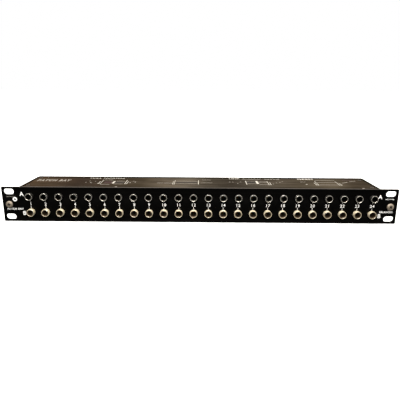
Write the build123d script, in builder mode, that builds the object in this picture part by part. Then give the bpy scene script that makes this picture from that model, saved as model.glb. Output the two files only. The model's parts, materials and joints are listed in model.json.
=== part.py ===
from build123d import *
import os

# Audio patch bay, one rack unit high: 24 channels, two rows of 6.35 mm three-pole sockets in front
# and two behind, four sockets on each of 24 channel boards.
# Millimetres. Origin at the centre of the front panel's front face, +X right, +Y into the unit, +Z up.

# Front panel (19 inch rack standard) and its ears
panel_width = 482.6
panel_height = 43.7
panel_thickness = 2.0
panel_corner = 1.2
edge_break = 0.3
slot_span = 465.1
slot_rise = 31.75
slot_length = 12.6
slot_height = 7.0
ear_screw_x = 232.5

# Case behind the panel
case_half_width = 220.5
case_half_height = 21.3
sheet = 1.2
seam = 0.1
rear_face = 66.0
rear_thickness = 2.0
lip_edge = 17.2
bend_radius = 1.5

# Socket grid
columns = 24
pitch = 18.15
grid_centre_x = 2.1
row_a_z = 10.46
row_b_z = -9.86
panel_hole_r = 4.1

# One socket: depth is measured behind the outer face of its panel, the mouth is at a negative depth
bore_r = 3.2
sleeve_r = 3.5
sleeve_end = 5.5
rim_thickness = 1.0
mouth_bevel = 0.55
bushing_r = 4.0
bushing_bore_r = 3.7
bushing_setback = 1.05
flange_front = 2.1
flange_back = 4.1
flange_width = 12.0
flange_height = 12.6

# Row A sockets end in a wide rim; row B sockets end in a narrow rim inside a ring nut
row_a_mouth = -5.5
row_a_rim_r = 4.3
row_b_mouth = -4.7
row_b_rim_r = 4.0
nut_r = 4.65
nut_bore_r = 4.1
nut_front = -4.6
nut_back = -0.05
notch_width = 1.2
notch_depth = 0.8

# Socket housing: a tub with its open side towards -X and its solder pins towards +X
housing_front = 4.2
housing_back = 30.0
housing_half_width = 6.1
housing_half_height = 8.0
housing_wall = 1.0
housing_mouth_r = 3.9

# Contact springs and their fixed contacts
hinge_height = 4.9
spring_start = 9.5
blade_width = 3.0
blade_thickness = 0.4
root_front = 6.4
root_back = 9.3
root_thickness = 1.2
pad_thickness = 0.6
pad_gap = 0.1
contact_reach = 4.9
pin_size = 0.8
pin_overlap = 0.4
pin_end = 8.0
pin_slot = 1.1

# Channel board
board_near = 6.2
board_thickness = 1.2
board_front = 5.0
board_back = 61.0
board_half_height = 18.0
board_corner = 1.0
pin_hole_r = 0.65

# Screws
ear_head_r = 4.3
ear_head_height = 2.6
ear_shank_r = 2.4
ear_hole_r = 2.6
ear_shank_end = 7.0
flat_head_r = 2.4
flat_shank_r = 1.2
flat_hole_r = 1.35
flat_head_height = 1.2
cover_screw_x = 213.0
cover_screw_y = (12.0, 54.0)
tab_inner_x = 207.6
tab_front = 6.0
tab_back = 60.0
rear_screw_z = 18.9
rear_screw_steps = (-11, -4, 4, 11)
rear_head_r = 1.8
rear_head_height = 1.1
rear_shank_r = 0.9
rear_hole_r = 1.0
rear_shank_end = 62.2
recess_width = 0.9

case_front = panel_thickness + seam
case_back = rear_face - rear_thickness - seam
cover_half_width = case_half_width - sheet - seam
board_middle_z = (row_a_z + row_b_z) / 2
column_x = [grid_centre_x + (n - (columns - 1) / 2) * pitch for n in range(columns)]
rear_screw_x = [grid_centre_x + step * pitch for step in rear_screw_steps]

os.makedirs("parts", exist_ok=True)


def depth_plane(y):
    """A plane that faces -Y at depth y, with its own y along +Z."""
    return Plane.XZ.offset(-y)


def keep(builder, name):
    builder.part.label = name
    export_step(builder.part, f"parts/{name}.step")


def front_places(row_z):
    return [Location((x, 0, row_z)) for x in column_x]


def rear_places(row_z):
    return [Location((x, rear_face, row_z), (180, 0, 0)) for x in column_x]


def make_front_panel():
    with BuildPart() as panel:
        with BuildSketch(Plane.XZ):
            RectangleRounded(panel_width, panel_height, panel_corner)
        extrude(amount=-panel_thickness)
        chamfer(panel.faces().sort_by(Axis.Y)[0].edges(), edge_break)
        with BuildSketch(Plane.XZ):
            with Locations(*[(x, z) for x in column_x for z in (row_a_z, row_b_z)]):
                Circle(panel_hole_r)
            with GridLocations(slot_span, slot_rise, 2, 2):
                SlotOverall(slot_length, slot_height)
            with GridLocations(2 * ear_screw_x, 1, 2, 1):
                Circle(ear_hole_r)
        extrude(amount=-panel_thickness, mode=Mode.SUBTRACT)
    keep(panel, "front_panel")


def make_rear_panel():
    with BuildPart() as panel:
        with BuildSketch(depth_plane(rear_face - rear_thickness)):
            RectangleRounded(2 * case_half_width, 2 * case_half_height, panel_corner)
            with Locations(*[(x, z) for x in column_x for z in (row_a_z, row_b_z)]):
                Circle(panel_hole_r, mode=Mode.SUBTRACT)
            with Locations(*[(x, z) for x in rear_screw_x for z in (rear_screw_z, -rear_screw_z)]):
                Circle(rear_hole_r, mode=Mode.SUBTRACT)
        extrude(amount=-rear_thickness)
    keep(panel, "rear_panel")


def make_cover_sheet():
    """Top sheet with a lip bent down at the front and at the rear."""
    with BuildPart() as cover:
        with BuildSketch(Plane.YZ.offset(-cover_half_width)):
            with BuildLine():
                outer = FilletPolyline(
                    (case_front, lip_edge),
                    (case_front, case_half_height),
                    (case_back, case_half_height),
                    (case_back, lip_edge),
                    radius=bend_radius,
                )
                inner = FilletPolyline(
                    (case_back - sheet, lip_edge),
                    (case_back - sheet, case_half_height - sheet),
                    (case_front + sheet, case_half_height - sheet),
                    (case_front + sheet, lip_edge),
                    radius=bend_radius - sheet,
                )
                Line(outer @ 1, inner @ 0)
                Line(inner @ 1, outer @ 0)
            make_face()
        extrude(amount=2 * cover_half_width)
        with Locations(*[(x, y, case_half_height) for x in (-cover_screw_x, cover_screw_x) for y in cover_screw_y]):
            CounterSinkHole(flat_hole_r, flat_head_r + 0.1, counter_sink_angle=90, depth=2 * sheet)
        with BuildSketch(depth_plane(case_back - 2 * sheet)):
            with Locations(*[(x, rear_screw_z) for x in rear_screw_x]):
                Circle(rear_hole_r)
        extrude(amount=-3 * sheet, mode=Mode.SUBTRACT)
    return cover


def make_right_bracket():
    """Side wall with an ear behind the front panel and four tabs that hold the cover and the tray."""
    tab_z = case_half_height - 1.5 * sheet - seam
    with BuildPart() as bracket:
        with BuildSketch(Plane.XY.offset(-case_half_height)):
            with BuildLine():
                Polyline(
                    (case_half_width - sheet, case_back),
                    (case_half_width - sheet, case_front),
                    (panel_width / 2, case_front),
                    (panel_width / 2, case_front + sheet),
                    (case_half_width, case_front + sheet),
                    (case_half_width, case_back),
                    close=True,
                )
            make_face()
        extrude(amount=2 * case_half_height)
        for z in (tab_z, -tab_z):
            with BuildSketch(Plane.XY.offset(z - sheet / 2)):
                with Locations((case_half_width - sheet, (tab_front + tab_back) / 2)):
                    Rectangle(
                        case_half_width - sheet - tab_inner_x,
                        tab_back - tab_front,
                        align=(Align.MAX, Align.CENTER),
                    )
                with Locations(*[(cover_screw_x, y) for y in cover_screw_y]):
                    Circle(flat_hole_r, mode=Mode.SUBTRACT)
            extrude(amount=sheet)
        with BuildSketch(depth_plane(case_front)):
            with Locations(*[(slot_span / 2, z) for z in (slot_rise / 2, -slot_rise / 2)]):
                SlotOverall(slot_length + 0.8, slot_height + 0.8)
            with Locations((ear_screw_x, 0)):
                Circle(ear_hole_r)
        extrude(amount=-sheet, mode=Mode.SUBTRACT)
    return bracket


def make_case():
    cover = make_cover_sheet()
    bracket = make_right_bracket()
    keep(cover, "top_cover")
    keep(bracket, "right_side_bracket")
    with BuildPart() as tray:
        add(cover.part.mirror(Plane.XY))
    keep(tray, "base_tray")
    with BuildPart() as left_bracket:
        add(bracket.part.mirror(Plane.YZ))
    keep(left_bracket, "left_side_bracket")


def make_ear_screw():
    """Pan-head screw with a cross recess, head towards -Y, seated on the plane Y = 0."""
    with BuildPart() as screw:
        with BuildSketch(Plane.XZ):
            Circle(ear_head_r)
        extrude(amount=ear_head_height)
        fillet(screw.faces().sort_by(Axis.Y)[0].edges(), ear_head_height * 0.6)
        with BuildSketch(Plane.XZ):
            Circle(ear_shank_r)
        extrude(amount=-ear_shank_end)
        with BuildSketch(Plane.XZ.offset(ear_head_height)):
            Rectangle(2 * recess_width + ear_head_r * 0.6, recess_width)
            Rectangle(recess_width, 2 * recess_width + ear_head_r * 0.6)
        extrude(amount=-ear_head_height * 0.6, mode=Mode.SUBTRACT)
    return screw


def make_flat_screw():
    """Countersunk screw, axis along Z, its flat head just below the plane Z = 0, pointing down."""
    sink = 0.02
    with BuildPart() as screw:
        with Locations((0, 0, -sink)):
            Cone(
                flat_shank_r,
                flat_head_r,
                flat_head_height,
                align=(Align.CENTER, Align.CENTER, Align.MAX),
            )
            Cylinder(
                flat_shank_r,
                2 * sheet + seam - sink,
                align=(Align.CENTER, Align.CENTER, Align.MAX),
            )
        with BuildSketch(Plane.XY.offset(-sink)):
            Rectangle(flat_head_r, recess_width * 0.6)
            Rectangle(recess_width * 0.6, flat_head_r)
        extrude(amount=-flat_head_height * 0.6, mode=Mode.SUBTRACT)
    return screw


def make_rear_screw():
    """Small pan-head screw, head towards +Y, seated on the plane Y = 0."""
    with BuildPart() as screw:
        with BuildSketch(Plane.XZ):
            Circle(rear_head_r)
        extrude(amount=-rear_head_height)
        fillet(screw.faces().sort_by(Axis.Y)[-1].edges(), rear_head_height * 0.5)
        with BuildSketch(Plane.XZ):
            Circle(rear_shank_r)
        extrude(amount=rear_face - rear_shank_end)
        with BuildSketch(Plane.XZ.offset(-rear_head_height)):
            Rectangle(rear_head_r, recess_width * 0.5)
            Rectangle(recess_width * 0.5, rear_head_r)
        extrude(amount=rear_head_height * 0.5, mode=Mode.SUBTRACT)
    return screw


def make_screws():
    ear_screw = make_ear_screw()
    flat_screw = make_flat_screw()
    rear_screw = make_rear_screw()
    corners = [(x, y) for x in (-cover_screw_x, cover_screw_x) for y in cover_screw_y]
    groups = {
        "panel_screws": (ear_screw, [Location((x, 0, 0)) for x in (-ear_screw_x, ear_screw_x)]),
        "cover_screws": (flat_screw, [Location((x, y, case_half_height)) for x, y in corners]),
        "base_screws": (
            flat_screw,
            [Location((x, y, -case_half_height), (180, 0, 0)) for x, y in corners],
        ),
        "rear_screws": (
            rear_screw,
            [Location((x, rear_face, z)) for x in rear_screw_x for z in (rear_screw_z, -rear_screw_z)],
        ),
    }
    for name, (screw, places) in groups.items():
        with BuildPart() as group:
            with Locations(*places):
                add(screw.part)
        keep(group, name)


def make_bushing(mouth):
    """Moulded nose that passes through the panel, with a square flange behind it."""
    front = mouth + bushing_setback
    with BuildPart() as bushing:
        with BuildSketch(depth_plane(front)):
            Circle(bushing_r)
        extrude(amount=front - flange_back)
        with BuildSketch(depth_plane(flange_front)):
            RectangleRounded(flange_width, flange_height, 1.0)
        extrude(amount=flange_front - flange_back)
        with BuildSketch(depth_plane(front)):
            Circle(bushing_bore_r)
        extrude(amount=front - flange_back, mode=Mode.SUBTRACT)
    return bushing


def make_sleeve(mouth, rim_r):
    """Metal sleeve contact with the rim that shows at the mouth, bevelled inwards."""
    small = edge_break / 2
    with BuildPart() as sleeve:
        with BuildSketch(Plane.XY):
            with BuildLine():
                Polyline(
                    (bore_r, sleeve_end),
                    (bore_r, mouth + mouth_bevel),
                    (bore_r + mouth_bevel, mouth),
                    (rim_r - small, mouth),
                    (rim_r, mouth + small),
                    (rim_r, mouth + rim_thickness),
                    (sleeve_r, mouth + rim_thickness),
                    (sleeve_r, sleeve_end),
                    close=True,
                )
            make_face()
        revolve(axis=Axis.Y)
    return sleeve


def make_nut():
    """Round ring nut with two spanner notches, screwed on to the nose of a row B socket."""
    with BuildPart() as nut:
        with BuildSketch(depth_plane(nut_front)):
            Circle(nut_r)
        extrude(amount=nut_front - nut_back)
        fillet(nut.faces().sort_by(Axis.Y)[0].edges(), edge_break / 2)
        with BuildSketch(depth_plane(nut_front)):
            Circle(nut_bore_r)
        extrude(amount=nut_front - nut_back, mode=Mode.SUBTRACT)
        with BuildSketch(depth_plane(nut_front)):
            Rectangle(2 * nut_r, notch_width)
        extrude(amount=-notch_depth, mode=Mode.SUBTRACT)
    return nut


# Centre lines of the two blades as (depth, height), each with a V that rests on the plug
tip_line = [(spring_start, 4.9), (20.5, 4.9), (22.8, 2.3), (25.1, 4.9), (27.6, 4.9)]
ring_line = [(spring_start, -4.9), (13.9, -4.9), (16.0, -2.9), (18.1, -4.9), (20.2, -4.9)]
tip_pad = (25.9, 28.2)
ring_pad = (18.9, 21.0)
sleeve_terminal = (5.7, 7.1)


def make_spring(line):
    half = blade_thickness / 2
    upper = [(y, z + half) for y, z in line]
    lower = [(y, z - half) for y, z in reversed(line)]
    with BuildPart() as spring:
        with BuildSketch(Plane.YZ.offset(-blade_width / 2)):
            with BuildLine():
                Polyline(*upper, *lower, close=True)
            make_face()
        extrude(amount=blade_width)
    return spring


def contact_blocks():
    """Fixed contacts as (start x, front, back, low, high): two spring roots, two rest pads, one sleeve."""
    root = root_thickness / 2
    pad_high = hinge_height - blade_thickness / 2 - pad_gap
    pad_low = pad_high - pad_thickness
    left = -blade_width / 2
    return [
        (left, root_front, root_back, hinge_height - root, hinge_height + root),
        (left, root_front, root_back, -hinge_height - root, -hinge_height + root),
        (left, *tip_pad, pad_low, pad_high),
        (left, *ring_pad, -pad_high, -pad_low),
        (sleeve_r, *sleeve_terminal, -pin_size, pin_size),
    ]


def block_centre(block):
    _, front, back, low, high = block
    return ((front + back) / 2, (low + high) / 2)


def make_contacts():
    """Five fixed contacts of one socket, each with a square solder pin towards +X."""
    with BuildPart() as contacts:
        for start, front, back, low, high in contact_blocks():
            with BuildSketch(Plane.YZ.offset(start)):
                with Locations(((front + back) / 2, (low + high) / 2)):
                    Rectangle(back - front, high - low)
            extrude(amount=contact_reach - start)
        with BuildSketch(Plane.YZ.offset(contact_reach - pin_overlap)):
            with Locations(*[block_centre(block) for block in contact_blocks()]):
                Rectangle(pin_size, pin_size)
        extrude(amount=pin_end - contact_reach + pin_overlap)
    return contacts


def make_housing():
    with BuildPart() as housing:
        with BuildSketch(depth_plane(housing_front)):
            Rectangle(2 * housing_half_width, 2 * housing_half_height)
        extrude(amount=housing_front - housing_back)
        with BuildSketch(depth_plane(housing_front + housing_wall)):
            with Locations((-housing_wall, 0)):
                Rectangle(2 * housing_half_width, 2 * (housing_half_height - housing_wall))
        extrude(amount=housing_front - housing_back + 2 * housing_wall, mode=Mode.SUBTRACT)
        with BuildSketch(depth_plane(housing_front)):
            Circle(housing_mouth_r)
        extrude(amount=-housing_wall, mode=Mode.SUBTRACT)
        with BuildSketch(Plane.YZ.offset(housing_half_width - housing_wall)):
            with Locations(*[block_centre(block) for block in contact_blocks()]):
                Rectangle(pin_slot, pin_slot)
        extrude(amount=housing_wall, mode=Mode.SUBTRACT)
    return housing


def make_board():
    """Board of one channel, beside the pins of its four sockets, drawn for a column at X = 0."""
    pins = [block_centre(block) for block in contact_blocks()]
    front_pins = [(y, row + z) for row in (row_a_z, row_b_z) for y, z in pins]
    rear_pins = [(rear_face - y, row - z) for row in (row_a_z, row_b_z) for y, z in pins]
    with BuildPart() as board:
        with BuildSketch(Plane.YZ.offset(board_near)):
            with Locations(((board_front + board_back) / 2, board_middle_z)):
                RectangleRounded(board_back - board_front, 2 * board_half_height, board_corner)
            with Locations(*front_pins, *rear_pins):
                Circle(pin_hole_r, mode=Mode.SUBTRACT)
        extrude(amount=board_thickness)
    return board


def make_sockets():
    shared = {
        "housings": make_housing(),
        "tip_springs": make_spring(tip_line),
        "ring_springs": make_spring(ring_line),
        "contacts": make_contacts(),
    }
    row_a = dict(
        shared,
        bushings=make_bushing(row_a_mouth),
        sleeves=make_sleeve(row_a_mouth, row_a_rim_r),
    )
    row_b = dict(
        shared,
        bushings=make_bushing(row_b_mouth),
        sleeves=make_sleeve(row_b_mouth, row_b_rim_r),
        nuts=make_nut(),
    )
    rows = {
        "front_a": (row_a, front_places(row_a_z)),
        "front_b": (row_b, front_places(row_b_z)),
        "rear_a": (row_a, rear_places(row_a_z)),
        "rear_b": (row_b, rear_places(row_b_z)),
    }
    for row, (pieces, places) in rows.items():
        for piece, shape in pieces.items():
            with BuildPart() as group:
                with Locations(*places):
                    add(shape.part)
            keep(group, f"{row}_{piece}")


def make_boards():
    board = make_board()
    for number, x in enumerate(column_x, start=1):
        with BuildPart() as channel_board:
            with Locations((x, 0, 0)):
                add(board.part)
        keep(channel_board, f"channel_board_{number:02d}")


make_front_panel()
make_rear_panel()
make_case()
make_screws()
make_sockets()
make_boards()
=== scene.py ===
import json
import math

import bmesh
import bpy
from mathutils import Matrix, Vector


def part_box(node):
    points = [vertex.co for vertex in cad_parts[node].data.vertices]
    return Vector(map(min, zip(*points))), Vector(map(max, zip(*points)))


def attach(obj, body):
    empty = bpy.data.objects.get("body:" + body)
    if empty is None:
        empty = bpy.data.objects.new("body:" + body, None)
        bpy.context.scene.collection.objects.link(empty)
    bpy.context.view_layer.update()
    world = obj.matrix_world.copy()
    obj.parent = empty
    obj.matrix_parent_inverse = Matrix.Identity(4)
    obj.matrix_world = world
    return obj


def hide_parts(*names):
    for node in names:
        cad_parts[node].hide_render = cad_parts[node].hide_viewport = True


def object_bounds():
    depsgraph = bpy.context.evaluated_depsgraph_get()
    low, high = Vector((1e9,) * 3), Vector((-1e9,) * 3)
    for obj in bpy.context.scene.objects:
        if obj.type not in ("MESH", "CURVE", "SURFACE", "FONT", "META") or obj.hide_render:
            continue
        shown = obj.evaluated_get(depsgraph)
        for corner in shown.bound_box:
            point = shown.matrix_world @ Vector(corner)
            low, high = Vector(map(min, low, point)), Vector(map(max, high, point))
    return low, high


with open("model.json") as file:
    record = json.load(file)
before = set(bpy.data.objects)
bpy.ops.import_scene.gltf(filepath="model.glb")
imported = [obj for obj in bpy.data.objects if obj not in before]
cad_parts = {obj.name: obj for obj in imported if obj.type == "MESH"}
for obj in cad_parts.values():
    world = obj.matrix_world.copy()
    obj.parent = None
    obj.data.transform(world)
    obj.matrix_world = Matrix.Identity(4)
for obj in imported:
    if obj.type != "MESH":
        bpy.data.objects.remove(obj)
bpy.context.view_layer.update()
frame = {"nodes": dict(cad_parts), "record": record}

MM = 0.001
RECORD = frame["record"]
NODES = frame["nodes"]
CHASSIS = "chassis"
TURN = 2 * math.pi

# Places read from the frame, in metres
PANEL_LOW, PANEL_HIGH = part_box("front_panel")
SCREWS_LOW, SCREWS_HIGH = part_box("panel_screws")
FRONT_FACE = PANEL_LOW.y
REAR_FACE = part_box("rear_panel")[1].y
COVER_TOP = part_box("top_cover")[1].z
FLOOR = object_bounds()[0][2]

# Camera: place in millimetres, angles in degrees, lens and sensor in millimetres
CAMERA_PLACE = (5.03, -477.0, 137.7)
CAMERA_PITCH = -15.32
CAMERA_ROLL = -0.43
CAMERA_YAW = 0.59
CAMERA_LENS = 36.52
CAMERA_SENSOR = 36

# Sockets, in millimetres: radii from the axis, depths inwards from the face of their panel
MOUTH_A = -5.5
MOUTH_B = -4.7
RIM_R_A = 4.3
RIM_R_B = 4.0
BORE_R = 3.2
SLEEVE_R = 3.5
SLEEVE_END = 5.5
RIM_LENGTH = 1.0
NOSE_BORE_R = 3.7
NOSE_R = 4.0
NOSE_SETBACK = 1.05
FLANGE_FRONT = 2.1
FLANGE_BACK = 4.1
FLANGE_HALF_WIDTH = 6.0
FLANGE_HALF_HEIGHT = 6.3
NUT_BORE_R = 4.1
NUT_R = 4.65
NUT_FRONT = -4.6
NUT_BACK = -0.05

# Front panel's visible form, and how thick all ink is, in millimetres
PANEL_HOLE_R = 4.15
PANEL_CORNER_R = 1.2
PANEL_EDGE = 0.25
INK_THICKNESS = 0.02

# Ear screws: outlines as (radius, depth) in millimetres, turns in radians
SCREW_HEAD_R = 4.3
SCREW_DOME = [
    (0, -2.6), (2.2, -2.58), (3.3, -2.42), (3.9, -2.1), (4.2, -1.6), (SCREW_HEAD_R, -1.0), (SCREW_HEAD_R, 0),
]
SCREW_SHANK = [(2.4, 0), (2.4, 6.6), (1.9, 7.0), (0, 7.0)]
SCREW_TURN = 0.4
RECESS_TURN = 0.35


def socket_places(row):
    """Centres of a row's sockets as (x, z), from the record's mounts."""
    mounts = [m for m in RECORD["mounts"] if m["name"].startswith(row + "_")]
    mounts.sort(key=lambda m: m["name"])
    return [(m["pos_m"][0], m["pos_m"][2]) for m in mounts]


ROWS = ("front_a", "front_b", "rear_a", "rear_b")
PLACES = {row: socket_places(row) for row in ROWS}
COLUMN_X = [x for x, _ in PLACES["front_a"]]
ROW_A_Z = PLACES["front_a"][0][1]
ROW_B_Z = PLACES["front_b"][0][1]


# ---------------------------------------------------------------- camera

def make_camera():
    location = Vector(CAMERA_PLACE) * MM
    pitch, roll, yaw = (math.radians(a) for a in (CAMERA_PITCH, CAMERA_ROLL, CAMERA_YAW))
    turn = Matrix.Rotation(roll, 3, "Y") @ Matrix.Rotation(pitch, 3, "X") @ Matrix.Rotation(yaw, 3, "Z")
    looking = turn @ Matrix.Rotation(math.radians(90), 3, "X")
    data = bpy.data.cameras.new("camera")
    data.sensor_width = CAMERA_SENSOR
    data.lens = CAMERA_LENS
    data.clip_start = 0.01
    camera = bpy.data.objects.new("camera", data)
    camera.matrix_world = Matrix.Translation(location) @ looking.to_4x4()
    bpy.context.scene.collection.objects.link(camera)
    bpy.context.scene.camera = camera


# ---------------------------------------------------------------- materials

class Look:
    """A node material on object coordinates, built up from small helpers."""

    def __init__(self, name):
        self.material = bpy.data.materials.new(name)
        self.material.use_nodes = True
        self.tree = self.material.node_tree
        self.shader = self.tree.nodes["Principled BSDF"]
        self.coordinates = self.tree.nodes.new("ShaderNodeTexCoord").outputs["Object"]

    def put(self, socket, value):
        self.shader.inputs[socket].default_value = value

    def link(self, source, target):
        self.tree.links.new(source, target)

    def stretched(self, scale):
        """Object coordinates scaled by a triple, for streaks and grain."""
        mapping = self.tree.nodes.new("ShaderNodeMapping")
        mapping.inputs["Scale"].default_value = scale
        self.link(self.coordinates, mapping.inputs["Vector"])
        return mapping.outputs["Vector"]

    def noise(self, scale, detail=4.0, roughness=0.55, vector=None):
        node = self.tree.nodes.new("ShaderNodeTexNoise")
        node.inputs["Scale"].default_value = scale
        node.inputs["Detail"].default_value = detail
        node.inputs["Roughness"].default_value = roughness
        self.link(vector or self.coordinates, node.inputs["Vector"])
        return node.outputs["Fac"]

    def voronoi(self, scale):
        node = self.tree.nodes.new("ShaderNodeTexVoronoi")
        node.inputs["Scale"].default_value = scale
        self.link(self.coordinates, node.inputs["Vector"])
        return node.outputs["Distance"]

    def ramp(self, source, stops):
        """Colour ramp; stops are (position, grey or colour)."""
        node = self.tree.nodes.new("ShaderNodeValToRGB")
        elements = node.color_ramp.elements
        while len(elements) < len(stops):
            elements.new(0.5)
        for element, (position, colour) in zip(elements, stops):
            element.position = position
            element.color = (*colour, 1) if isinstance(colour, tuple) else (colour, colour, colour, 1)
        self.link(source, node.inputs["Fac"])
        return node.outputs["Color"]

    def mix(self, factor, first, second):
        """Mix two colours or sockets by a factor socket."""
        node = self.tree.nodes.new("ShaderNodeMix")
        node.data_type = "RGBA"
        self.link(factor, node.inputs["Factor"])
        for side, value in (("A", first), ("B", second)):
            socket = [s for s in node.inputs if s.name == side and s.type == "RGBA"][0]
            if isinstance(value, tuple):
                socket.default_value = (*value, 1)
            else:
                self.link(value, socket)
        return [s for s in node.outputs if s.type == "RGBA"][0]

    def times(self, first, second):
        """Multiply two colour sockets."""
        node = self.tree.nodes.new("ShaderNodeMix")
        node.data_type = "RGBA"
        node.blend_type = "MULTIPLY"
        node.inputs["Factor"].default_value = 1
        colours = [s for s in node.inputs if s.type == "RGBA"]
        self.link(first, colours[0])
        self.link(second, colours[1])
        return [s for s in node.outputs if s.type == "RGBA"][0]

    def span(self, source, low, high, start=0.0, end=1.0):
        """Run from low to high while the source runs from start to end."""
        node = self.tree.nodes.new("ShaderNodeMapRange")
        node.inputs["From Min"].default_value = start
        node.inputs["From Max"].default_value = end
        node.inputs["To Min"].default_value = low
        node.inputs["To Max"].default_value = high
        self.link(source, node.inputs["Value"])
        return node.outputs["Result"]

    def maths(self, operation, first, second):
        node = self.tree.nodes.new("ShaderNodeMath")
        node.operation = operation
        for socket, value in zip(node.inputs, (first, second)):
            if isinstance(value, (int, float)):
                socket.default_value = value
            else:
                self.link(value, socket)
        return node.outputs["Value"]

    def axis(self, name):
        node = self.tree.nodes.new("ShaderNodeSeparateXYZ")
        self.link(self.coordinates, node.inputs["Vector"])
        return node.outputs[name]

    def colour(self, source):
        self.link(source, self.shader.inputs["Base Color"])

    def roughness(self, source):
        self.link(source, self.shader.inputs["Roughness"])

    def bump(self, height, distance, strength=1.0):
        node = self.tree.nodes.new("ShaderNodeBump")
        node.inputs["Distance"].default_value = distance
        node.inputs["Strength"].default_value = strength
        self.link(height, node.inputs["Height"])
        self.link(node.outputs["Normal"], self.shader.inputs["Normal"])


def powder_coat(name, dark, light, worn, specular, rough, top=None):
    """Satin black powder coat with marks; top is a height in metres and the painted highlight colour above
    it.
    """
    look = Look(name)
    cloud = look.noise(28, 5)
    grain = look.noise(2600, 2)
    marks = look.noise(60, 6, 0.7, look.stretched((0.35, 1, 1.6)))
    base = look.mix(look.span(cloud, 0, 1, 0.3, 0.7), dark, light)
    coat = look.mix(look.span(marks, 0, 1, 0.66, 0.8), base, worn)
    # Painted highlight: above the given height the coat takes a lighter colour, along the top edge.
    if top:
        height, painted_top_highlight = top
        coat = look.mix(look.span(look.axis("Z"), 0, 1, height, height + 0.0001), coat, painted_top_highlight)
    look.colour(coat)
    look.roughness(look.span(marks, rough[0], rough[1], 0.3, 0.75))
    look.put("Specular IOR Level", specular)
    look.bump(grain, 0.00004, 0.5)
    return look.material


def cover_coat():
    """The top cover's coat: warm painted sheen with smears and specks, painted shade at the back and the
    sides.
    """
    case_depth = 0.066
    half_width = 0.22
    look = Look("case_coat")
    # Painted sheen: the cover's grazing reflection is painted into its colour, warm and uneven across; the
    # coat's own specular level is zero.
    patches = look.noise(9, 4, 0.6, look.stretched((1, 0.4, 1)))
    across = look.maths("ADD", look.axis("X"), look.span(patches, -0.008, 0.008, 0.3, 0.7))
    painted_sheen = look.ramp(
        look.span(across, 0, 1, -half_width, half_width),
        [
            (0.03, (0.030, 0.019, 0.011)),
            (0.15, (0.016, 0.011, 0.008)),
            (0.33, (0.021, 0.016, 0.010)),
            (0.39, (0.050, 0.040, 0.029)),
            (0.46, (0.054, 0.045, 0.034)),
            (0.52, (0.022, 0.018, 0.013)),
            (0.58, (0.015, 0.012, 0.009)),
            (0.65, (0.026, 0.022, 0.017)),
            (0.78, (0.029, 0.023, 0.016)),
            (0.90, (0.040, 0.032, 0.022)),
            (0.97, (0.019, 0.014, 0.009)),
        ],
    )
    depth = look.axis("Y")
    smears = look.noise(35, 6, 0.65, look.stretched((0.5, 2.2, 1)))
    streaks = look.noise(60, 4, 0.6, look.stretched((0.25, 4, 1)))
    specks = look.noise(900, 3)
    # Smears, streaks and specks over the painted sheen.
    sheen_and_smears = look.mix(look.span(smears, 0, 0.7, 0.45, 0.72), painted_sheen, (0.008, 0.006, 0.004))
    sheen_and_streaks = look.mix(look.span(streaks, 0, 0.40, 0.50, 0.70), sheen_and_smears, (0.075, 0.062, 0.050))
    sheen_and_specks = look.mix(look.span(specks, 0, 0.35, 0.62, 0.8), sheen_and_streaks, (0.080, 0.070, 0.058))
    # Painted shade: darker along a line behind the front bend, at the back edge and towards both side edges.
    painted_shade_along_depth = look.ramp(look.span(depth, 0, 1, 0.0, case_depth), [
        (0.09, 1.0), (0.12, 0.5), (0.17, 1.0), (0.87, 1.0), (0.91, 0.05), (1.00, 0.05),
    ])
    from_middle = look.maths("ABSOLUTE", look.axis("X"), 0)
    painted_shade_at_sides = look.ramp(look.span(from_middle, 0, 1, 0.210, half_width), [
        (0.55, 1.0), (0.80, 0.05),
    ])
    shaded = look.times(look.times(sheen_and_specks, painted_shade_along_depth), painted_shade_at_sides)
    # Painted highlight: a lighter strip along the front bend.
    look.colour(look.mix(look.span(depth, 0.9, 0, 0.0045, 0.0060), shaded, (0.052, 0.046, 0.041)))
    look.roughness(look.span(smears, 0.44, 0.60, 0.3, 0.7))
    look.put("Specular IOR Level", 0.0)
    look.bump(look.noise(2600, 2), 0.00004, 0.5)
    return look.material


def plating(name, bright, dull, rough, metallic=1.0):
    """Plated metal: fine turning lines and a cloudy tarnish."""
    look = Look(name)
    tarnish = look.noise(420, 5, 0.6)
    lines = look.noise(1500, 3, 0.6, look.stretched((1, 7, 1)))
    look.colour(look.mix(look.span(tarnish, 0, 1, 0.42, 0.72), bright, dull))
    look.roughness(look.span(lines, rough[0], rough[1], 0.3, 0.7))
    look.put("Metallic", metallic)
    look.bump(lines, 0.00001, 0.35)
    return look.material


def moulding(name, dark, light, rough):
    """Moulded plastic: fine spark texture and slightly uneven gloss."""
    look = Look(name)
    grain = look.voronoi(2200)
    flow = look.noise(90, 3)
    look.colour(look.mix(look.span(flow, 0, 1, 0.3, 0.7), dark, light))
    look.roughness(look.span(flow, rough[0], rough[1], 0.3, 0.7))
    look.put("Specular IOR Level", 0.3)
    look.bump(grain, 0.00003, 0.4)
    return look.material


def board_laminate():
    """Green board: solder mask over tracks, with the weave just visible."""
    look = Look("board_laminate")
    brick = look.tree.nodes.new("ShaderNodeTexBrick")
    brick.offset = 0.37
    brick.inputs["Scale"].default_value = 1.0
    brick.inputs["Brick Width"].default_value = 0.0125
    brick.inputs["Row Height"].default_value = 0.0028
    brick.inputs["Mortar Size"].default_value = 0.00035
    turned = look.tree.nodes.new("ShaderNodeMapping")
    turned.inputs["Rotation"].default_value = (0, math.radians(90), math.radians(90))
    look.link(look.coordinates, turned.inputs["Vector"])
    look.link(turned.outputs["Vector"], brick.inputs["Vector"])
    weave = look.noise(1400, 2, 0.5, look.stretched((1, 3, 1)))
    mask = look.mix(look.span(weave, 0, 1, 0.3, 0.7), (0.010, 0.105, 0.045), (0.018, 0.140, 0.060))
    look.colour(look.mix(brick.outputs["Fac"], mask, (0.035, 0.230, 0.090)))
    look.roughness(look.span(weave, 0.25, 0.4))
    look.bump(brick.outputs["Fac"], 0.00003, 0.6)
    return look.material


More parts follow.
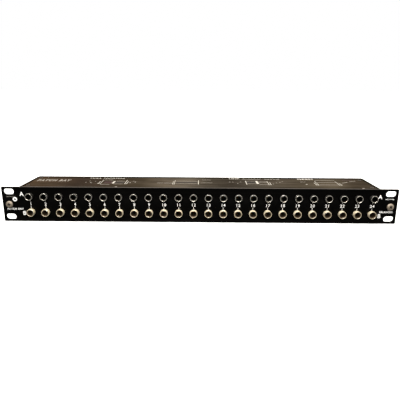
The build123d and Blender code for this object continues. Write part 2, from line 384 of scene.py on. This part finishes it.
def ink(name, colour, faded):
    """Screen-printed ink: slightly uneven, with pinholes."""
    look = Look(name)
    cloud = look.noise(300, 4)
    pinholes = look.noise(3500, 2)
    worn = look.mix(look.span(cloud, 0, 1, 0.35, 0.8), colour, faded)
    look.colour(look.mix(look.span(pinholes, 0, 0.5, 0.68, 0.8), worn, tuple(c * 0.4 for c in faded)))
    look.put("Roughness", 0.6)
    look.put("Specular IOR Level", 0.2)
    return look.material


# The panel's top edge above 21.7 mm gets a painted highlight.
PANEL_COAT = powder_coat(
    "panel_coat", (0.0010, 0.0009, 0.0009), (0.0017, 0.0016, 0.0015), (0.0042, 0.0039, 0.0036),
    0.02, (0.42, 0.58), top=(0.0217, (0.040, 0.035, 0.031)),
)
CASE_COAT = cover_coat()
REAR_COAT = powder_coat(
    "rear_coat", (0.0115, 0.0108, 0.0101), (0.0195, 0.0184, 0.0172), (0.041, 0.039, 0.036),
    0.07, (0.36, 0.52),
)
NOSE_PLASTIC = moulding("nose_plastic", (0.006, 0.0055, 0.005), (0.011, 0.010, 0.009), (0.38, 0.5))
HOUSING_PLASTIC = moulding("housing_plastic", (0.016, 0.016, 0.018), (0.028, 0.028, 0.030), (0.42, 0.58))
SLEEVE_PLATE = plating("sleeve_plate", (0.92, 0.89, 0.80), (0.74, 0.69, 0.58), (0.20, 0.34), 0.75)
# Dark copies of the plating, painted shade inside the bores; the B rows' copy is browner and less dark.
BORE_PAINTED_SHADE = plating("bore_painted_shade", (0.022, 0.016, 0.011), (0.010, 0.008, 0.006), (0.30, 0.45))
BORE_BRASS_PAINTED_SHADE = plating("bore_brass_painted_shade", (0.075, 0.050, 0.028), (0.040, 0.027, 0.017), (0.30, 0.45), 0.7)
NUT_PLATE = plating("nut_plate", (0.95, 0.84, 0.62), (0.82, 0.68, 0.44), (0.28, 0.40), 0.55)
SCREW_PLATE = plating("screw_plate", (0.34, 0.29, 0.23), (0.18, 0.145, 0.105), (0.42, 0.58), 0.6)
# Dark copy of the screw plating, painted shade in the cross recess.
RECESS_PAINTED_SHADE = plating("recess_painted_shade", (0.030, 0.022, 0.016), (0.016, 0.012, 0.009), (0.40, 0.55))
DARK_SCREW = plating("dark_screw", (0.055, 0.053, 0.050), (0.030, 0.028, 0.026), (0.35, 0.5))
# Bronze darkened as painted shade, for springs that sit in the shade inside the jacks.
SPRING_METAL = plating("spring_metal", (0.36, 0.23, 0.11), (0.22, 0.135, 0.065), (0.24, 0.38))
CONTACT_METAL = plating("contact_metal", (0.42, 0.40, 0.36), (0.28, 0.26, 0.23), (0.26, 0.40))
BOARD = board_laminate()
WHITE_INK = ink("white_ink", (0.95, 0.95, 0.94), (0.80, 0.80, 0.78))
COVER_INK = ink("cover_ink", (0.36, 0.34, 0.30), (0.22, 0.20, 0.17))
WIRE_INK = ink("wire_ink", (0.17, 0.15, 0.13), (0.09, 0.08, 0.065))
BLACK_INK = ink("black_ink", (0.003, 0.002, 0.002), (0.005, 0.004, 0.003))
GREY_INK = ink("grey_ink", (0.30, 0.28, 0.25), (0.16, 0.14, 0.12))
RED_INK = ink("red_ink", (0.016, 0.002, 0.002), (0.011, 0.003, 0.002))


def finish_of(node):
    """The material of a CAD node, by its name or by the last word of its name."""
    exact = {
        "front_panel": PANEL_COAT,
        "rear_panel": REAR_COAT,
        "top_cover": CASE_COAT,
        "base_tray": REAR_COAT,
        "left_side_bracket": REAR_COAT,
        "right_side_bracket": REAR_COAT,
        "panel_screws": SCREW_PLATE,
    }
    endings = {
        "bushings": NOSE_PLASTIC,
        "sleeves": SLEEVE_PLATE,
        "housings": HOUSING_PLASTIC,
        "springs": SPRING_METAL,
        "contacts": CONTACT_METAL,
        "nuts": NUT_PLATE,
        "screws": DARK_SCREW,
    }
    if node in exact:
        return exact[node]
    if node.startswith("channel_board"):
        return BOARD
    return endings[node.rsplit("_", 1)[1]]


def paint_nodes():
    for name, node in NODES.items():
        node.data.materials.clear()
        node.data.materials.append(finish_of(name))


# ---------------------------------------------------------------- mesh helpers

SEGMENTS = 56


def linked_object(name, data):
    piece = bpy.data.objects.new(name, data)
    bpy.context.scene.collection.objects.link(piece)
    return piece


def mesh_of(scratch):
    """The mesh of a scratch object with its curve settings and modifiers applied; the object goes."""
    bpy.context.view_layer.update()
    mesh = bpy.data.meshes.new_from_object(scratch.evaluated_get(bpy.context.evaluated_depsgraph_get()))
    bpy.data.objects.remove(scratch)
    return mesh


def new_piece(name, mesh, *materials):
    """A piece that rides on the chassis, as all the fixed pieces do."""
    piece = linked_object(name, mesh)
    for material in materials:
        mesh.materials.append(material)
    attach(piece, CHASSIS)
    return piece


def smooth(mesh, degrees=35):
    """Smooth shading with hard edges where faces turn by more than the angle."""
    mesh.polygons.foreach_set("use_smooth", [True] * len(mesh.polygons))
    mesh.set_sharp_from_angle(angle=math.radians(degrees))


def ring_of(shape, radius, depth):
    """A ring of vertices about the Y axis; the radius is a number or a function of the angle."""
    angles = [TURN * k / SEGMENTS for k in range(SEGMENTS)]
    radii = [radius(angle) if callable(radius) else radius for angle in angles]
    return [
        shape.verts.new((r * math.cos(angle) * MM, depth * MM, r * math.sin(angle) * MM))
        for r, angle in zip(radii, angles)
    ]


def bridge(shape, first, second):
    """A band of faces between two rings."""
    for k in range(SEGMENTS):
        after = (k + 1) % SEGMENTS
        shape.faces.new((first[k], first[after], second[after], second[k]))


def lathe(outline):
    """A hollow solid of revolution about Y from a closed (radius, depth) outline in millimetres."""
    shape = bmesh.new()
    rings = [ring_of(shape, radius, depth) for radius, depth in outline]
    for first, second in zip(rings, rings[1:] + rings[:1]):
        bridge(shape, first, second)
    bmesh.ops.recalc_face_normals(shape, faces=shape.faces)
    return shape


def disc_lathe(outline):
    """A full solid of revolution about Y; the outline starts and ends on the axis."""
    shape = bmesh.new()
    start = shape.verts.new((0, outline[0][1] * MM, 0))
    end = shape.verts.new((0, outline[-1][1] * MM, 0))
    rings = [ring_of(shape, radius, depth) for radius, depth in outline[1:-1]]
    for first, second in zip(rings, rings[1:]):
        bridge(shape, first, second)
    for k in range(SEGMENTS):
        after = (k + 1) % SEGMENTS
        shape.faces.new((start, rings[0][after], rings[0][k]))
        shape.faces.new((end, rings[-1][k], rings[-1][after]))
    bmesh.ops.recalc_face_normals(shape, faces=shape.faces)
    return shape


def repeated(prototype, placements):
    """One mesh with the prototype copied to every placement matrix."""
    source = bpy.data.meshes.new("source")
    prototype.to_mesh(source)
    prototype.free()
    joined = bmesh.new()
    for placement in placements:
        start = len(joined.verts)
        joined.from_mesh(source)
        joined.verts.ensure_lookup_table()
        bmesh.ops.transform(joined, matrix=placement, verts=joined.verts[start:])
    mesh = bpy.data.meshes.new("joined")
    joined.to_mesh(mesh)
    joined.free()
    bpy.data.meshes.remove(source)
    return mesh


def socket_matrices(row):
    """Placements that put a socket piece, drawn with its depth along +Y, at each socket of a row."""
    if row.startswith("front"):
        return [Matrix.Translation((x, FRONT_FACE, z)) for x, z in PLACES[row]]
    turned = Matrix.Rotation(math.pi, 4, "X")
    return [Matrix.Translation((x, REAR_FACE, z)) @ turned for x, z in PLACES[row]]


# ---------------------------------------------------------------- sockets

def flange_radius(angle):
    """Distance from the axis to the edge of the moulded flange, a rectangle rounded as a superellipse."""
    power = 9
    across = abs(math.cos(angle) / FLANGE_HALF_WIDTH) ** power
    upward = abs(math.sin(angle) / FLANGE_HALF_HEIGHT) ** power
    return (across + upward) ** (-1 / power)


def nose_shape(front):
    """Moulded nose with a rounded front edge and a square flange behind the panel."""
    return lathe([
        (NOSE_BORE_R, FLANGE_BACK),
        (NOSE_BORE_R, front + 0.13),
        (NOSE_BORE_R + 0.08, front),
        (NOSE_R - 0.1, front),
        (NOSE_R, front + 0.1),
        (NOSE_R, FLANGE_FRONT),
        (flange_radius, FLANGE_FRONT),
        (flange_radius, FLANGE_BACK),
    ])


def sleeve_shape(mouth, rim, bright_from, bright_to):
    """Plated sleeve with a rounded rim; its bore and its rim outside two radii have the second material,
    which paints the shade inside the hole.
    """
    shape = lathe([
        (BORE_R, SLEEVE_END),
        (BORE_R, mouth + 0.75),
        (BORE_R + 0.06, mouth + 0.56),
        (BORE_R + 0.2, mouth + 0.44),
        (BORE_R + 0.52, mouth + 0.36),
        (BORE_R + 0.53, mouth + 0.24),
        (BORE_R + 0.58, mouth + 0.1),
        (BORE_R + 0.67, mouth + 0.02),
        (BORE_R + 0.76, mouth),
        (rim - 0.08, mouth + 0.01),
        (rim - 0.02, mouth + 0.05),
        (rim, mouth + 0.14),
        (rim, mouth + RIM_LENGTH),
        (SLEEVE_R, mouth + RIM_LENGTH),
        (SLEEVE_R, SLEEVE_END),
    ])
    # Painted shade: the bore and the rim's rounding are plated metal, coloured dark as the shade inside the
    # hole.
    bore_limit = BORE_R + 0.2
    for face in shape.faces:
        centre = face.calc_center_median() / MM
        distance = math.hypot(centre.x, centre.z)
        painted_shade_rim = centre.y < mouth + RIM_LENGTH and not bright_from <= distance <= bright_to
        if painted_shade_rim or distance < bore_limit:
            face.material_index = 1
    return shape


def nut_shape():
    """Plated ring nut with a rounded front edge and a fine groove that sets off its collar."""
    groove = NUT_R - 0.09
    return lathe([
        (NUT_BORE_R, NUT_BACK),
        (NUT_BORE_R, NUT_FRONT + 0.14),
        (NUT_BORE_R + 0.05, NUT_FRONT + 0.04),
        (NUT_BORE_R + 0.14, NUT_FRONT),
        (NUT_R - 0.23, NUT_FRONT),
        (NUT_R - 0.11, NUT_FRONT + 0.04),
        (NUT_R - 0.03, NUT_FRONT + 0.12),
        (NUT_R, NUT_FRONT + 0.24),
        (NUT_R, NUT_BACK - 0.7),
        (groove, NUT_BACK - 0.63),
        (groove, NUT_BACK - 0.55),
        (NUT_R, NUT_BACK - 0.48),
        (NUT_R, NUT_BACK),
    ])


def make_sockets():
    """Each row's noses and sleeve rims, and the ring nuts that only the B rows have."""
    for row in ROWS:
        has_nut = row.endswith("b")
        if has_nut:
            mouth, bore_painted_shade = MOUTH_B, BORE_BRASS_PAINTED_SHADE
            sleeve = sleeve_shape(mouth, RIM_R_B, bright_from=3.9, bright_to=5)
        else:
            mouth, bore_painted_shade = MOUTH_A, BORE_PAINTED_SHADE
            sleeve = sleeve_shape(mouth, RIM_R_A, bright_from=3.8, bright_to=4.25)
        shapes = {
            "bushings": ("noses", nose_shape(mouth + NOSE_SETBACK), (NOSE_PLASTIC,), "socket_plastic"),
            "sleeves": ("sleeve_rims", sleeve, (SLEEVE_PLATE, bore_painted_shade), "sleeve_nickel"),
        }
        if has_nut:
            shapes["nuts"] = ("ring_nuts", nut_shape(), (NUT_PLATE,), "nut_nickel")
        for node, (name, shape, materials, slot) in shapes.items():
            mesh = repeated(shape, socket_matrices(row))
            smooth(mesh, 40)
            piece = new_piece(f"{row}_{name}", mesh, *materials)
            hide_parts(f"{row}_{node}")


# ---------------------------------------------------------------- screws

def depth_at(outline, radius):
    """Depth of a (radius, depth) outline at a radius, with straight lines between its points."""
    for (r0, d0), (r1, d1) in zip(outline, outline[1:]):
        if r0 <= radius < r1:
            return d0 + (d1 - d0) * (radius - r0) / (r1 - r0)
    return outline[-1][1]


def scratch_from(shape, name):
    """A scratch object that takes over a bmesh."""
    mesh = bpy.data.meshes.new(name)
    shape.to_mesh(mesh)
    shape.free()
    return linked_object(name, mesh)


def cross_cutter():
    """Two crossed bars that narrow inwards, to cut a screw's cross recess."""
    long_side = SCREW_HEAD_R * 1.15
    short_side = 1.25
    depth = 2.4
    cutter = bmesh.new()
    for turn in (0, math.pi / 2):
        bar = bmesh.ops.create_cube(cutter, size=1)["verts"]
        bmesh.ops.scale(cutter, vec=(long_side * MM, depth * MM, short_side * MM), verts=bar)
        for v in bar:
            if v.co.y > 0:
                v.co.x *= 0.55
                v.co.z *= 0.8
        bmesh.ops.translate(cutter, vec=(0, -depth * MM, 0), verts=bar)
        bmesh.ops.rotate(cutter, matrix=Matrix.Rotation(turn + RECESS_TURN, 3, "Y"), verts=bar)
    return cutter


def make_panel_screws():
    """Two pan-head screws with a tapered cross recess, between the rack slots of each ear."""
    screw = scratch_from(disc_lathe(SCREW_DOME + SCREW_SHANK), "screw_blank")
    cross = scratch_from(cross_cutter(), "cross")
    cut = screw.modifiers.new("cut", "BOOLEAN")
    cut.object = cross
    cut.operation = "DIFFERENCE"
    cut.use_self = True
    cut_screw = mesh_of(screw)
    bpy.data.objects.remove(cross)
    prototype = bmesh.new()
    prototype.from_mesh(cut_screw)
    # Painted shade: faces inside the cross recess take the dark second material.
    for face in prototype.faces:
        centre = face.calc_center_median() / MM
        surface = depth_at(SCREW_DOME, math.hypot(centre.x, centre.z))
        if surface + 0.08 < centre.y < -0.2:
            face.material_index = 1
    x = SCREWS_HIGH.x - SCREW_HEAD_R * MM
    z = (SCREWS_LOW.z + SCREWS_HIGH.z) / 2
    places = [
        Matrix.Translation((side * x, FRONT_FACE, z)) @ Matrix.Rotation(side * SCREW_TURN, 4, "Y")
        for side in (-1, 1)
    ]
    mesh = repeated(prototype, places)
    smooth(mesh, 30)
    piece = new_piece("ear_screws", mesh, SCREW_PLATE, RECESS_PAINTED_SHADE)
    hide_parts("panel_screws")


# ---------------------------------------------------------------- front panel skin

def circle(x, y, radius, steps):
    """Points round a circle, anticlockwise."""
    return [
        (x + radius * math.cos(TURN * k / steps), y + radius * math.sin(TURN * k / steps))
        for k in range(steps)
    ]


def rounded_outline(width, height, radius, steps=8):
    """Corner-rounded rectangle as (x, z) points, anticlockwise."""
    points = []
    for k, (sx, sz) in enumerate(((1, 1), (-1, 1), (-1, -1), (1, -1))):
        for step in range(steps + 1):
            angle = math.pi / 2 * (k + step / steps)
            points.append((
                sx * (width / 2 - radius) + radius * math.cos(angle),
                sz * (height / 2 - radius) + radius * math.sin(angle),
            ))
    return points


def add_loop(curve, points, centre=(0, 0)):
    """Add a closed outline to a curve, moved so that its origin is at the centre."""
    spline = curve.splines.new("POLY")
    spline.points.add(len(points) - 1)
    for point, (x, y) in zip(spline.points, points):
        point.co = (x + centre[0], y + centre[1], 0, 1)
    spline.use_cyclic_u = True


def make_front_panel():
    """The panel as a filled curve: fine round holes and slots, edges broken by a bevel."""
    low, high = PANEL_LOW, PANEL_HIGH
    edge = PANEL_EDGE * MM
    curve = bpy.data.curves.new("panel_outline", "CURVE")
    curve.dimensions = "2D"
    curve.fill_mode = "BOTH"
    curve.extrude = (high.y - low.y) / 2 - edge
    curve.bevel_depth = edge
    curve.bevel_resolution = 2
    curve.offset = -edge
    add_loop(curve, rounded_outline(high.x - low.x, high.z - low.z, PANEL_CORNER_R * MM))
    hole = circle(0, 0, PANEL_HOLE_R * MM, 48)
    for row in ("front_a", "front_b"):
        for centre in PLACES[row]:
            add_loop(curve, hole, centre)
    slots = next(m for m in RECORD["mounts"] if m["name"] == "rack_slots")["dims"]
    slot_height = 2 * slots["hole_r_mm"] * MM
    slot = rounded_outline(slots["slot_length_mm"] * MM, slot_height, slot_height / 2 * 0.999, 16)
    across = slots["spacing_x_mm"] / 2 * MM
    upward = slots["spacing_y_mm"] / 2 * MM
    for centre in ((-across, -upward), (-across, upward), (across, -upward), (across, upward)):
        add_loop(curve, slot, centre)
    mesh = mesh_of(linked_object("panel_outline", curve))
    stand = Matrix.Translation((0, (low.y + high.y) / 2, 0)) @ Matrix.Rotation(math.pi / 2, 4, "X")
    mesh.transform(stand)
    mesh.materials.clear()
    cleaned = bmesh.new()
    cleaned.from_mesh(mesh)
    bmesh.ops.remove_doubles(cleaned, verts=cleaned.verts, dist=1e-6)
    bmesh.ops.recalc_face_normals(cleaned, faces=cleaned.faces)
    cleaned.to_mesh(mesh)
    cleaned.free()
    smooth(mesh, 40)
    piece = new_piece("front_panel_skin", mesh, PANEL_COAT)
    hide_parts("front_panel")


# ---------------------------------------------------------------- printing

class Print:
    """Collects flat ink shapes, drawn in millimetres on a face, into one thin mesh."""

    def __init__(self, face):
        self.face = face
        self.shape = bmesh.new()

    def text(self, words, x, y, size, bold=0.0, wide=1.0, spacing=1.0):
        """Words centred on a point; bold thickens the strokes and wide stretches them across."""
        curve = bpy.data.curves.new("words", "FONT")
        curve.body = words
        curve.size = size
        curve.align_x = "CENTER"
        curve.align_y = "CENTER"
        curve.offset = bold
        curve.space_character = spacing
        curve.resolution_u = 4
        mesh = mesh_of(linked_object("words", curve))
        mesh.transform(Matrix.Translation((x, y, 0)) @ Matrix.Diagonal((wide, 1, 1, 1)))
        self.shape.from_mesh(mesh)
        bpy.data.meshes.remove(mesh)

    def polygon(self, points):
        self.shape.faces.new([self.shape.verts.new((x, y, 0)) for x, y in points])

    def bar(self, x0, y0, x1, y1, width):
        """A straight stroke between two points."""
        along = Vector((x1 - x0, y1 - y0)).normalized() * width / 2
        side = Vector((-along.y, along.x))
        self.polygon([
            (x0 + side.x, y0 + side.y),
            (x0 - side.x, y0 - side.y),
            (x1 - side.x, y1 - side.y),
            (x1 + side.x, y1 + side.y),
        ])

    def ring(self, x, y, outer, inner, steps=32):
        outside = circle(x, y, outer, steps)
        inside = circle(x, y, inner, steps)
        for k in range(steps):
            after = (k + 1) % steps
            self.polygon([outside[k], outside[after], inside[after], inside[k]])

    def disc(self, x, y, radius, steps=24):
        self.polygon(circle(x, y, radius, steps))

    def finish(self, name, material):
        """Give the ink its thickness, stand it on its face and make it a piece."""
        bmesh.ops.remove_doubles(self.shape, verts=self.shape.verts, dist=1e-4)
        bmesh.ops.recalc_face_normals(self.shape, faces=self.shape.faces)
        for face in self.shape.faces:
            if face.normal.z < 0:
                face.normal_flip()
        bmesh.ops.scale(self.shape, vec=(MM, MM, MM), verts=self.shape.verts)
        flat = list(self.shape.faces)
        raised = bmesh.ops.extrude_face_region(self.shape, geom=flat, use_keep_orig=True)
        tops = [v for v in raised["geom"] if isinstance(v, bmesh.types.BMVert)]
        bmesh.ops.translate(self.shape, vec=(0, 0, INK_THICKNESS * MM), verts=tops)
        bmesh.ops.recalc_face_normals(self.shape, faces=self.shape.faces)
        mesh = bpy.data.meshes.new(name)
        self.shape.to_mesh(mesh)
        self.shape.free()
        mesh.transform(self.face)
        mesh.polygons.foreach_set("use_smooth", [False] * len(mesh.polygons))
        piece = new_piece(name, mesh, material)


# Faces that are printed on: each turns a drawing's x and y to run along the face
UPRIGHT = Matrix.Rotation(math.pi / 2, 4, "X")
FRONT = Matrix.Translation((0, FRONT_FACE, 0)) @ UPRIGHT
REAR = Matrix.Translation((0, REAR_FACE, 0)) @ Matrix.Rotation(math.pi, 4, "Z") @ UPRIGHT
TOP = Matrix.Translation((0, 0, COVER_TOP))


def number_columns(sheet, columns, above, below, widths, **style):
    """Column numbers, each with a stroke up to row A and one down to row B, given by their ends."""
    for count, x in enumerate(columns, start=1):
        sheet.bar(x, above[0], x, above[1], widths[0])
        sheet.bar(x, below[0], x, below[1], widths[1])
        sheet.text(str(count), x, **style)


def print_front():
    sheet = Print(FRONT)
    row_a, row_b = ROW_A_Z / MM, ROW_B_Z / MM
    first, last = COLUMN_X[0] / MM, COLUMN_X[-1] / MM
    number_columns(
        sheet, [x / MM for x in COLUMN_X], (row_a - 4.6, 3.2), (-2.2, row_b + 4.8), (0.22, 0.4),
        y=0.3, size=5.2, bold=0.06, spacing=1.16,
    )
    for words, x, z in (
        ("A", first - 10.2, row_a + 2.3),
        ("B", first - 9.0, row_b - 1.6),
        ("A", last + 8.6, row_a + 1.5),
        ("B", last + 9.6, row_b - 2.4),
    ):
        sheet.text(words, x, z, 7.2, 0.1)
    sheet.text("PATCH BAY", -226.2, -6.1, 3.2, 0.07, wide=1.03, spacing=1.16)
    sheet.text("BALANCED", 228.4, -6.9, 3.2, 0.06, wide=0.91, spacing=1.12)
    sheet.text("PATCH PANEL", 231.3, 9.4, 1.5, 0.03, wide=1.1)
    sheet.ring(-225.6, 6.3, 2.7, 1.2)
    sheet.finish("front_print", WHITE_INK)
    small = Print(FRONT)
    small.text("CHANNELS 1-24", -230.5, 9.6, 1.5, 0.02)
    small.finish("front_print_grey", GREY_INK)


def print_rear():
    sheet = Print(REAR)
    row_a, row_b = ROW_A_Z / MM, ROW_B_Z / MM
    number_columns(
        sheet, [-x / MM for x in COLUMN_X], (row_a - 4.3, 4.0), (-2.3, row_b + 4.8), (0.5, 0.5),
        y=0.5, size=5.0, bold=0.18,
    )
    for x in (-COLUMN_X[-1] / MM - 7.9, -COLUMN_X[0] / MM + 8.4):
        sheet.text("A", x, row_a, 5.2, 0.18)
        sheet.text("B", x, row_b, 5.2, 0.18)
    sheet.finish("rear_print", WHITE_INK)


# ---------------------------------------------------------------- cover printing

def jack_symbol(sheet, x, side, gap=2.6):
    """Two contacts on a foot, drawn beside the wires; side is -1 on the left, 1 on the right."""
    foot, foot_width, overhang = 23, 0.9, 0.8
    top, contact_width = 44, 0.65
    for step in (0, gap):
        contact = x + side * step
        sheet.bar(contact, foot + foot_width / 2, contact, top - 3 * step, contact_width)
    sheet.bar(x - side * overhang, foot, x + side * (gap + overhang), foot, foot_width)


def dots(sheet, radius, *places):
    for x, y in places:
        sheet.disc(x, y, radius)


def wires(sheet, left, right, *heights):
    """Straight wires from left to right, one at each height of the drawing."""
    for y in heights:
        sheet.bar(left, y, right, y, 1.3)


def print_cover():
    """A wiring drawing for each of four ways to link a channel, in four inks."""
    bright = Print(TOP)
    dim = Print(TOP)
    red = Print(TOP)
    black = Print(TOP)
    dim.text("PATCH BAY", -190.5, 40, 13, 0.8, wide=0.51, spacing=1.26)
    # Full normal
    bright.text("FULL NORMAL", -123, 54.6, 7.4, 0.0, wide=0.9, spacing=1.1)
    jack_symbol(bright, -126, -1)
    jack_symbol(bright, -95, 1)
    dots(bright, 0.9, (-139, 28), (-89, 29), (-83, 33))
    dots(dim, 0.9, (-146, 30), (-142.5, 37), (-135, 36), (-86, 38))
    wires(dim, -125, -113, 18.5, 44.5)
    wires(dim, -108, -97, 22, 38)
    red.bar(-122.4, 30, -112, 30, 9)
    bright.bar(-110.5, 24.5, -110.1, 37, 2.3)
    black.bar(-108.3, 30, -97, 30, 4)
    # Half normal
    black.text("HALF NORMAL", -47, 46.5, 5.0, 0.0, wide=0.74, spacing=1.12)
    dim.text("INPUT BREAKS", -45, 28.8, 3.4, 0.16, wide=0.72, spacing=1.16)
    jack_symbol(bright, -32, -1, 2.0)
    bright.bar(-1.5, 23, -1.5, 45, 0.8)
    wires(dim, -30.5, -3, 25.5, 40.5)
    black.bar(-30.5, 33, -3, 33, 4)
    dim.text("OUTPUT", 9, 48, 3.0, 0.1)
    dim.text("THROUGH", 9, 31.6, 3.0, 0.1)
    # Link
    bright.text("LINK", 46, 57, 6.4, 0.25, wide=0.9, spacing=1.14)
    bright.bar(56, 55.2, 81, 55.2, 0.9)
    dots(dim, 1.0, (39, 37), (43, 37), (49, 30), (53, 38))
    bright.bar(60, 23, 60, 45, 0.9)
    wires(dim, 61, 73, 28, 42.5)
    black.bar(61.5, 35.5, 73, 35.5, 4)
    bright.bar(74.6, 28, 74, 44, 2.8)
    wires(dim, 76, 87, 24, 36, 42)
    jack_symbol(bright, 88, 1)
    dots(dim, 0.9, (94, 27), (99, 34), (104, 37), (108, 42))
    bright.text("LINKS ON BOARD", 96.5, 54.6, 3.2, 0.0, wide=0.75)
    # Open
    bright.text("OPEN", 140.8, 56.5, 7.4, 0.3, wide=1.03, spacing=1.12)
    dim.text("SPLIT", 134.5, 40, 3.4, 0.1)
    dots(bright, 1.1, (136, 26.4))
    jack_symbol(bright, 150.5, -1)
    wires(dim, 152, 178, 24.5, 37.5, 50)
    jack_symbol(bright, 177, 1)
    dim.bar(184, 35, 192, 40, 1.6)
    dim.bar(196, 44, 205, 48, 1.6)
    red.bar(189, 52.5, 202, 52.5, 3)
    dots(dim, 1.5, (-102.5, 6.6), (200.5, 6.6))
    bright.finish("cover_print", COVER_INK)
    dim.finish("cover_print_lines", WIRE_INK)
    red.finish("cover_print_red", RED_INK)
    black.finish("cover_print_black", BLACK_INK)


# ---------------------------------------------------------------- studio

def make_floor():
    """A pale floor that the camera sees and that lights nothing but shows the object's shadow."""
    grid = bmesh.new()
    bmesh.ops.create_grid(grid, x_segments=8, y_segments=8, size=30)
    mesh = bpy.data.meshes.new("floor")
    grid.to_mesh(mesh)
    grid.free()
    floor = linked_object("floor", mesh)
    floor.location.z = FLOOR
    look = Look("floor_paper")
    look.colour(look.mix(look.noise(3, 3), (0.62, 0.62, 0.62), (0.66, 0.66, 0.655)))
    look.put("Roughness", 0.9)
    look.put("Specular IOR Level", 0.0)
    look.put("Emission Color", (1, 1, 1, 1))
    look.put("Emission Strength", 0.62)
    mesh.materials.append(look.material)
    floor.visible_glossy = False
    floor.visible_diffuse = False


class Room:
    """World light: bright behind and above the object, dark in front, white where the camera sees it."""

    def __init__(self):
        world = bpy.data.worlds.new("studio")
        bpy.context.scene.world = world
        world.use_nodes = True
        self.tree = world.node_tree
        direction = self.tree.nodes.new("ShaderNodeTexCoord").outputs["Generated"]
        split = self.tree.nodes.new("ShaderNodeSeparateXYZ")
        self.tree.links.new(direction, split.inputs["Vector"])
        behind = self.ramp(split.outputs["Y"], [
            (-1.0, (0.05, 0.048, 0.045)),
            (-0.1, (0.10, 0.095, 0.09)),
            (0.5, (0.40, 0.375, 0.34)),
            (1.0, (0.45, 0.42, 0.37)),
        ])
        upper = self.ramp(split.outputs["Z"], [
            (-1.0, (0.10, 0.10, 0.10)),
            (-0.02, (0.10, 0.10, 0.10)),
            (0.06, (1, 1, 1)),
        ])
        above = self.ramp(split.outputs["Z"], [
            (0.0, (0, 0, 0)),
            (0.7, (1.1, 1.06, 0.98)),
            (1.0, (1.4, 1.36, 1.26)),
        ])
        room = self.blend("LIGHTEN", self.blend("MULTIPLY", behind, upper), above)
        background = self.tree.nodes["Background"]
        self.tree.links.new(room, background.inputs["Color"])
        seen = self.tree.nodes.new("ShaderNodeBackground")
        seen.inputs["Color"].default_value = (1, 1, 1, 1)
        path = self.tree.nodes.new("ShaderNodeLightPath")
        choose = self.tree.nodes.new("ShaderNodeMixShader")
        self.tree.links.new(path.outputs["Is Camera Ray"], choose.inputs["Fac"])
        self.tree.links.new(background.outputs["Background"], choose.inputs[1])
        self.tree.links.new(seen.outputs["Background"], choose.inputs[2])
        self.tree.links.new(choose.outputs["Shader"], self.tree.nodes["World Output"].inputs["Surface"])

    def ramp(self, source, stops):
        """Colour against a direction's component, which runs from -1 to 1."""
        spread = self.tree.nodes.new("ShaderNodeMapRange")
        spread.inputs["From Min"].default_value = -1
        self.tree.links.new(source, spread.inputs["Value"])
        node = self.tree.nodes.new("ShaderNodeValToRGB")
        elements = node.color_ramp.elements
        while len(elements) < len(stops):
            elements.new(0.5)
        for element, (component, colour) in zip(elements, stops):
            element.position = (component + 1) / 2
            element.color = (*colour, 1)
        self.tree.links.new(spread.outputs["Result"], node.inputs["Fac"])
        return node.outputs["Color"]

    def blend(self, kind, first, second):
        """Two colours joined by one of the mix node's blend types."""
        node = self.tree.nodes.new("ShaderNodeMix")
        node.data_type = "RGBA"
        node.blend_type = kind
        node.inputs["Factor"].default_value = 1
        colours = [s for s in node.inputs if s.type == "RGBA"]
        self.tree.links.new(first, colours[0])
        self.tree.links.new(second, colours[1])
        return [s for s in node.outputs if s.type == "RGBA"][0]


def add_light(name, place, size, power, colour):
    """An area light at a place in metres, turned towards the middle of the front panel."""
    data = bpy.data.lights.new(name, "AREA")
    data.shape = "RECTANGLE"
    data.size, data.size_y = size
    data.energy = power
    data.color = colour
    light = bpy.data.objects.new(name, data)
    direction = Vector((0, 0, 0)) - Vector(place)
    light.matrix_world = Matrix.Translation(place) @ direction.to_track_quat("-Z", "Y").to_matrix().to_4x4()
    bpy.context.scene.collection.objects.link(light)


def make_studio():
    make_floor()
    Room()
    add_light("overhead", (0.0, -0.10, 0.75), size=(0.9, 0.5), power=16, colour=(1.0, 0.97, 0.92))
    add_light("front_fill", (0.0, -0.9, 0.55), size=(0.9, 0.3), power=13, colour=(1.0, 0.97, 0.93))
    bpy.context.scene.view_settings.view_transform = "Standard"


def main():
    make_camera()
    paint_nodes()
    make_front_panel()
    make_sockets()
    make_panel_screws()
    print_front()
    print_rear()
    print_cover()
    make_studio()


main()
